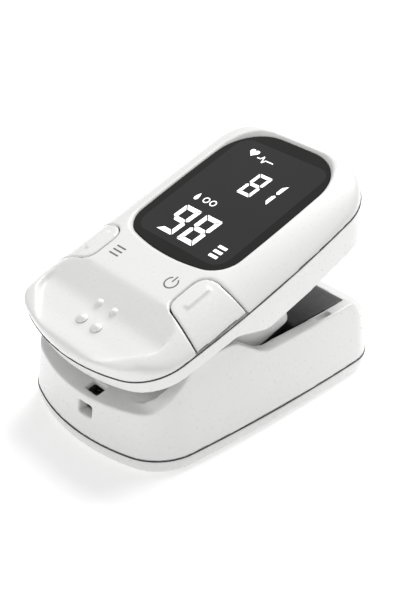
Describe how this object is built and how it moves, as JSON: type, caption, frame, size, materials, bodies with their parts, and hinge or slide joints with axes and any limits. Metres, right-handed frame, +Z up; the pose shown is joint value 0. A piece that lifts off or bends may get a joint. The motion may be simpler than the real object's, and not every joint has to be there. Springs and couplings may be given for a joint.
{
  "type": "fingertip pulse oximeter",
  "caption": "Clip-on fingertip pulse oximeter: two sprung jaws on one hinge, tilted display, two flank buttons, thumb recess, sliding battery door.",
  "frame": {"origin": "on the resting plane, under the middle of the base", "axes": "+X across the clip towards the power button, +Y from the press end to the finger end, +Z up"},
  "size_m": [0.0404, 0.0607, 0.0413],
  "materials": {
    "white_shell": "moulded ABS, satin to gloss",
    "white_button": "moulded ABS, satin to gloss",
    "cell_sleeve": "printed sleeve",
    "spring_steel": "plain steel",
    "contact_metal": "nickel plate",
    "black_plastic": "moulded black plastic",
    "silicone": "matt silicone",
    "circuit_board": "solder mask",
    "chip": "moulded epoxy",
    "cream_plastic": "moulded nylon",
    "clear_window": "clear resin",
    "flex_film": "polyimide film",
    "display_lens": "tinted polished acrylic",
    "display_frame": "module housing"
  },
  "bodies": {
    "base": {"base_shell": "white_shell", "bottom_tray": "white_shell", "battery_left": "cell_sleeve", "battery_right": "cell_sleeve", "contact_springs": "spring_steel", "contact_plates": "contact_metal", "bridge_contact": "contact_metal", "lower_pad_frame": "black_plastic", "lower_pad": "silicone", "sensor_board": "circuit_board", "photodiode": "chip", "sensor_window": "clear_window", "hinge_axle": "spring_steel", "torsion_spring_left": "spring_steel", "torsion_spring_right": "spring_steel", "base_screws": "spring_steel", "jaw_flex": "flex_film"},
    "jaw": {"jaw_frame": "white_shell", "top_cover": "white_shell", "display_lens": "display_lens", "display_gasket": "black_plastic", "upper_pad_frame": "black_plastic", "upper_pad": "silicone", "display_module": "display_frame", "display_connector": "cream_plastic", "main_board": "circuit_board", "processor": "chip", "flex_connector": "cream_plastic", "power_switch": "contact_metal", "mode_switch": "contact_metal", "emitter_board": "circuit_board", "emitter": "clear_window", "emitter_window": "clear_window", "buzzer": "black_plastic", "jaw_screws": "spring_steel"},
    "power_button": {"power_button": "white_button"},
    "mode_button": {"mode_button": "white_button"},
    "battery_door": {"battery_door": "white_shell"}
  },
  "joints": [
    {"name": "jaw_hinge", "type": "hinge", "parent": "base", "child": "jaw", "pos_m": [0, -0.0145, 0.0175], "axis": [1, 0, 0], "range_deg": [-18.6, 14], "stiffness_Nm_per_rad": 0.117, "springref_deg": -76.2, "deforming": ["jaw_flex", "torsion_spring_left", "torsion_spring_right"]},
    {"name": "power_button_press", "type": "slide", "parent": "jaw", "child": "power_button", "axis": [0, 0.319, -0.9478], "range_m": [0, 0.0003], "stiffness_N_per_m": 4000, "springref_m": -0.0001},
    {"name": "mode_button_press", "type": "slide", "parent": "jaw", "child": "mode_button", "axis": [0, 0.319, -0.9478], "range_m": [0, 0.0003], "stiffness_N_per_m": 4000, "springref_m": -0.0001},
    {"name": "battery_door_slide", "type": "slide", "parent": "base", "child": "battery_door", "axis": [0, 1, 0], "range_m": [0, 0.046]}
  ]
}
